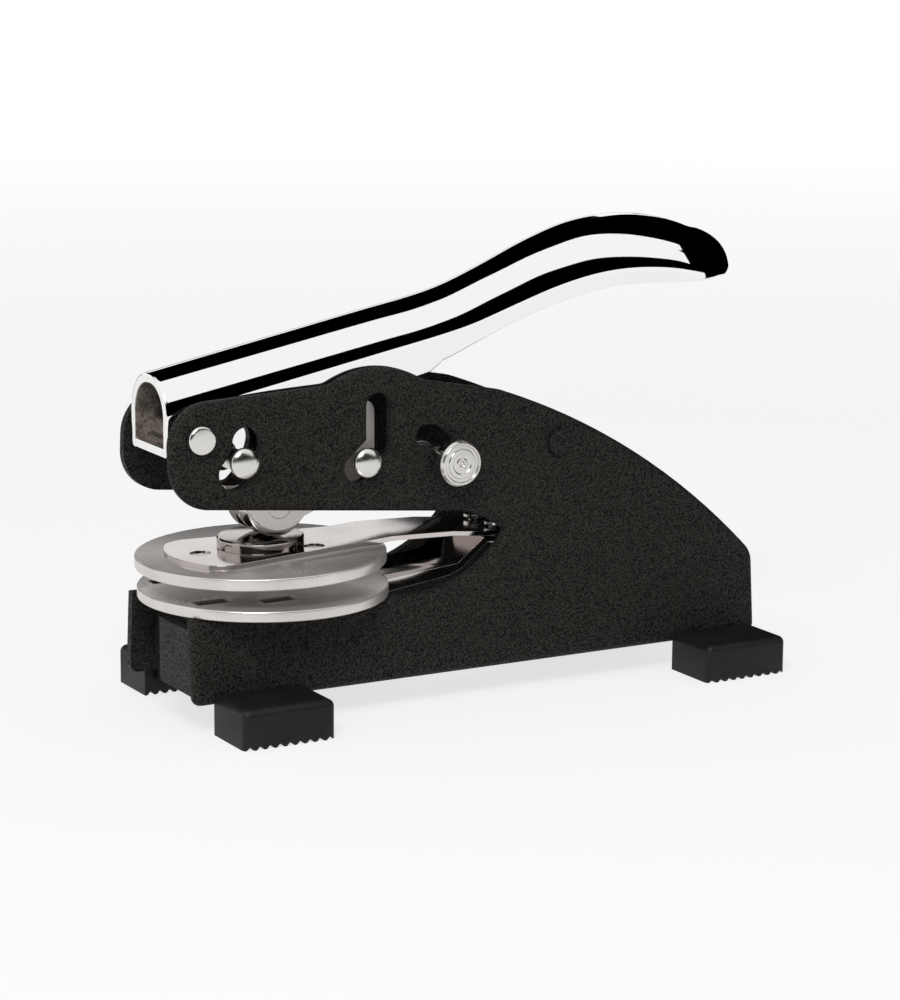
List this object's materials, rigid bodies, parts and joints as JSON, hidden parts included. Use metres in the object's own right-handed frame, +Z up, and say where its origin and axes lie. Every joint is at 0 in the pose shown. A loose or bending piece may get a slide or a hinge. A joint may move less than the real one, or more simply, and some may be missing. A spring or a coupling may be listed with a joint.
{
  "type": "seal embosser",
  "caption": "Desk hand press with leaning side plates, long curved lever, roller link and a slide-in die clip with round discs.",
  "frame": {"origin": "middle of the bounding box, on the desk under the feet", "axes": "+X from the nose to the lever's tip, +Z up, +Y towards the right plate, the one without the knob"},
  "size_m": [0.1448, 0.0642, 0.1025],
  "materials": {
    "black_wrinkle_paint": "fine wrinkle, semi-matte black",
    "chrome": "mirror polished plating",
    "disc_steel": "ground and nickel plated, turned rim",
    "clip_steel": "bright nickel plated spring steel",
    "turned_steel": "turned, bright",
    "link_steel": "satin nickel",
    "pin_steel": "bright zinc plated",
    "foot_rubber": "matte black"
  },
  "bodies": {
    "stand": {"left_side_plate": "black_wrinkle_paint", "right_side_plate": "black_wrinkle_paint", "base_bridge": "black_wrinkle_paint", "rear_brace": "black_wrinkle_paint", "rear_spacer": "black_wrinkle_paint", "lever_pivot_pin": "pin_steel", "pivot_washers": "pin_steel", "front_left_foot": "foot_rubber", "rear_left_foot": "foot_rubber", "front_right_foot": "foot_rubber", "rear_right_foot": "foot_rubber", "lower_die_disc": "disc_steel", "lower_clip_arm": "clip_steel", "tail_rivets": "pin_steel", "latch_stud": "pin_steel"},
    "lever": {"lever": "chrome", "link_pin": "pin_steel", "link_bushes": "pin_steel"},
    "press_link": {"press_link": "link_steel", "guide_pin": "pin_steel", "roller_pin": "link_steel"},
    "rollers": {"left_roller": "pin_steel", "right_roller": "pin_steel"},
    "upper_clip": {"upper_die_disc": "disc_steel", "upper_clip_arm": "clip_steel", "press_boss": "disc_steel", "disc_rivets": "pin_steel"},
    "latch": {"latch_plate": "pin_steel", "latch_knob": "turned_steel", "knob_stem": "pin_steel"}
  },
  "joints": [
    {"name": "lever_hinge", "type": "hinge", "parent": "stand", "child": "lever", "pos_m": [-0.06505, 0, 0.0617], "axis": [0, -1, 0], "range_deg": [-14, 26], "stiffness_Nm_per_rad": 0.6, "springref_deg": 6.88},
    {"name": "link_hinge", "type": "hinge", "parent": "lever", "child": "press_link", "pos_m": [-0.056, 0, 0.0564], "axis": [0, -1, 0], "range_deg": [-31.2, 16.8]},
    {"name": "roller_spin", "type": "hinge", "parent": "press_link", "child": "rollers", "pos_m": [-0.04405, 0, 0.0448], "axis": [0, -1, 0], "continuous": true},
    {"name": "clip_flex", "type": "hinge", "parent": "stand", "child": "upper_clip", "pos_m": [0.01016, 0, 0.0336], "axis": [0, -1, 0], "range_deg": [-2.66, 1.43]},
    {"name": "latch_crank", "type": "hinge", "parent": "stand", "child": "latch", "pos_m": [-0.01195, 0, 0.0525], "axis": [0, -1, 0], "range_deg": [0, 88]}
  ],
  "couplings": [
    {"joint": "link_hinge", "follows": "lever_hinge", "ratio": -1.2},
    {"joint": "clip_flex", "follows": "lever_hinge", "ratio": -0.102}
  ]
}
